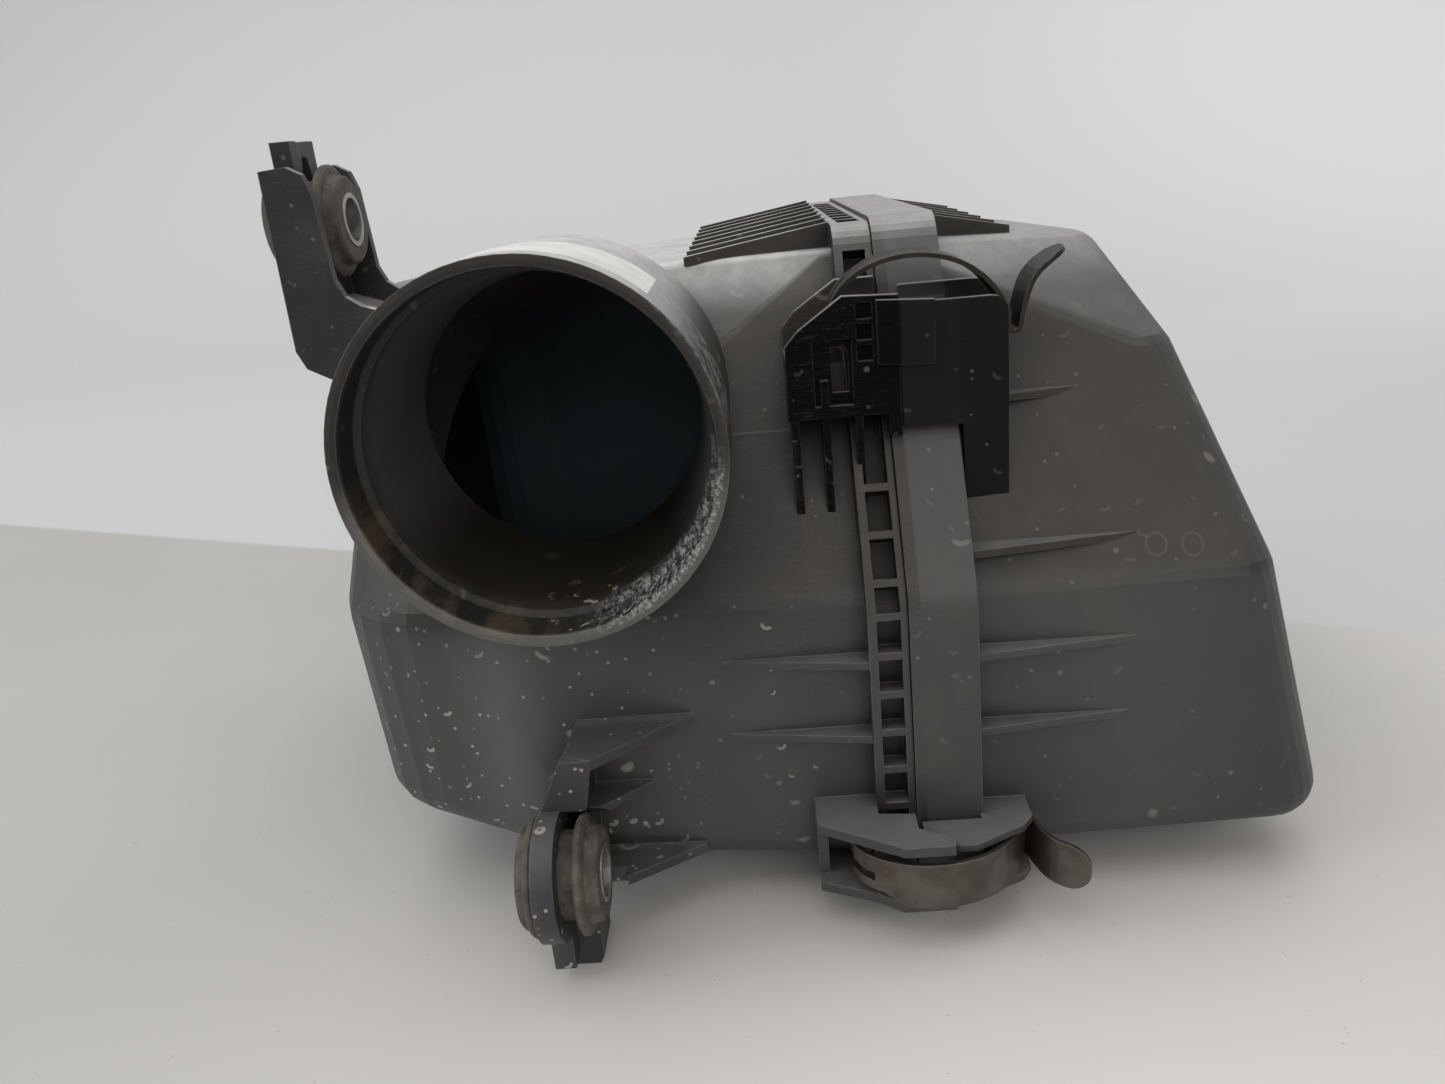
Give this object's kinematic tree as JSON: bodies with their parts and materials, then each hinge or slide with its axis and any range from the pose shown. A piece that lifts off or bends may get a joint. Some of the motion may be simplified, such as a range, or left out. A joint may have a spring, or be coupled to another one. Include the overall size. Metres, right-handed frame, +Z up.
{
  "type": "air filter housing",
  "caption": "Two-part plastic air filter housing with a round intake spigot, spring clips along the joint, rubber-bushed mounting ears and a panel filter inside.",
  "frame": {"origin": "centre of the intake spigot's mouth", "axes": "+X across the joint from the case to the cover, +Y into the spigot, +Z up"},
  "size_m": [0.2445, 0.2508, 0.1894],
  "materials": {
    "housing_plastic": "satin moulded, glass filled, dusty",
    "spring_steel": "dull dark spring steel",
    "grommet_rubber": "aged, dusty",
    "sleeve_steel": "dull zinc with a bright rim",
    "filter_foam": "soft cast seal",
    "filter_paper": "pleated paper",
    "glue_bead": "hot glue",
    "screen_plastic": "moulded",
    "insert_brass": "machined",
    "label_paper": "plain white label"
  },
  "bodies": {
    "housing": {"case": "housing_plastic", "cover": "housing_plastic", "grommet_upper": "grommet_rubber", "grommet_lower": "grommet_rubber", "grommet_rear": "grommet_rubber", "sleeve_upper": "sleeve_steel", "sleeve_lower": "sleeve_steel", "sleeve_rear": "sleeve_steel", "filter_frame": "filter_foam", "filter_pleats": "filter_paper", "filter_beads": "glue_bead", "outlet_screen": "screen_plastic", "sensor_inserts": "insert_brass", "label_blank": "label_paper"},
    "clip_front_top": {"clip_front_top": "spring_steel"},
    "clip_front_bottom": {"clip_front_bottom": "spring_steel"},
    "clip_rear_top": {"clip_rear_top": "spring_steel"},
    "clip_rear_bottom": {"clip_rear_bottom": "spring_steel"}
  },
  "joints": [
    {"name": "front_top_clip_swing", "type": "hinge", "parent": "housing", "child": "clip_front_top", "pos_m": [0.067, 0.0442, 0.012], "axis": [0, -1, 0], "range_deg": [0, 60]},
    {"name": "front_bottom_clip_swing", "type": "hinge", "parent": "housing", "child": "clip_front_bottom", "pos_m": [0.0637, 0.0155, -0.1053], "axis": [0, 0, -1], "range_deg": [0, 60]},
    {"name": "rear_top_clip_swing", "type": "hinge", "parent": "housing", "child": "clip_rear_top", "pos_m": [0.0637, 0.2015, 0.006], "axis": [0, 0, 1], "range_deg": [0, 60]},
    {"name": "rear_bottom_clip_swing", "type": "hinge", "parent": "housing", "child": "clip_rear_bottom", "pos_m": [0.0637, 0.2015, -0.088], "axis": [0, 0, 1], "range_deg": [0, 60]}
  ]
}
